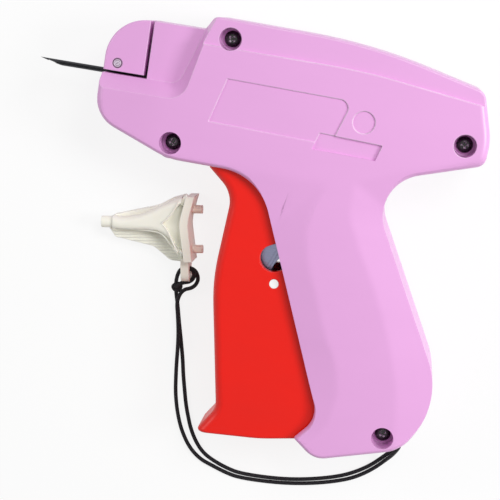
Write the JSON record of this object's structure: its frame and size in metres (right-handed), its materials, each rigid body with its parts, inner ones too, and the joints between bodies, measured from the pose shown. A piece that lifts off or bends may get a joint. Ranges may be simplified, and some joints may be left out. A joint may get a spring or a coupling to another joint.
{
  "type": "garment tag attacher",
  "caption": "Pistol-shaped garment tag attacher with a moulded two-part casing, squeeze trigger, hollow needle, feed wheel, and a needle cap tethered on a thin lanyard.",
  "frame": {"origin": "on the resting face of the right casing, straight under the rocker lever's axle", "axes": "+Z out of the left side, +Y to the top of the tool, -X towards the needle's tip"},
  "size_m": [0.1575, 0.1666, 0.03],
  "materials": {
    "casing_pink": "fine satin moulded polystyrene",
    "trigger_red": "smooth satin-gloss moulded plastic",
    "cap_ivory": "satin moulded polyethylene",
    "black_plastic": "black moulded plastic",
    "white_plastic": "white acetal",
    "dark_screws": "black zinc, lightly oiled",
    "bright_steel": "pressed and ground steel",
    "needle_steel": "dark hardened steel",
    "black_rubber": "matt moulded rubber",
    "black_cord": "fine braided polyester cord"
  },
  "bodies": {
    "root": {"left_casing": "casing_pink", "right_casing": "casing_pink", "casing_screws": "dark_screws", "lever_axle": "bright_steel", "trigger_axle": "bright_steel", "bumper": "black_rubber", "needle": "needle_steel", "needle_base": "black_plastic", "knife": "bright_steel", "pawl_pin": "bright_steel", "pawl_spring": "bright_steel", "needle_cap": "cap_ivory", "lanyard": "black_cord", "lanyard_knot": "black_cord"},
    "trigger": {"trigger": "trigger_red", "drive_pin": "white_plastic", "trigger_spring": "bright_steel"},
    "lever": {"rocker_lever": "bright_steel"},
    "slide": {"slide": "white_plastic", "slide_pin": "bright_steel", "ejector_rod": "bright_steel"},
    "feed": {"feed_wheel": "white_plastic", "feed_shaft": "bright_steel", "feed_knob": "black_plastic"},
    "pawl": {"feed_pawl": "bright_steel"},
    "lock": {"needle_lock": "bright_steel"}
  },
  "joints": [
    {"name": "trigger_squeeze", "type": "hinge", "parent": "root", "child": "trigger", "pos_m": [0.013, -0.06, 0.015], "axis": [0, 0, -1], "range_deg": [0, 12.5], "stiffness_Nm_per_rad": 0.3, "springref_deg": -20.05, "deforming": ["trigger_spring"]},
    {"name": "lever_swing", "type": "hinge", "parent": "root", "child": "lever", "pos_m": [0, 0, 0.015], "axis": [0, 0, 1], "range_deg": [0, 44.3]},
    {"name": "ejector_stroke", "type": "slide", "parent": "root", "child": "slide", "axis": [-1, 0, 0], "range_m": [0, 0.0391]},
    {"name": "feed_spin", "type": "hinge", "parent": "root", "child": "feed", "pos_m": [-0.0624, 0.0582, 0.005], "axis": [0, 0, 1], "continuous": true},
    {"name": "pawl_lift", "type": "hinge", "parent": "root", "child": "pawl", "pos_m": [-0.0544, 0.0638, 0.0125], "axis": [0, 0, 1], "range_deg": [0, 8], "stiffness_Nm_per_rad": 0.005, "springref_deg": -11.46, "deforming": ["pawl_spring"]},
    {"name": "needle_lock_turn", "type": "hinge", "parent": "root", "child": "lock", "pos_m": [-0.0786, 0.0516, 0.005], "axis": [0, 0, 1], "range_deg": [0, 180]}
  ],
  "couplings": [
    {"joint": "lever_swing", "follows": "trigger_squeeze", "ratio": 3.5375},
    {"joint": "ejector_stroke", "follows": "trigger_squeeze", "m_per_rad": 0.17876}
  ]
}
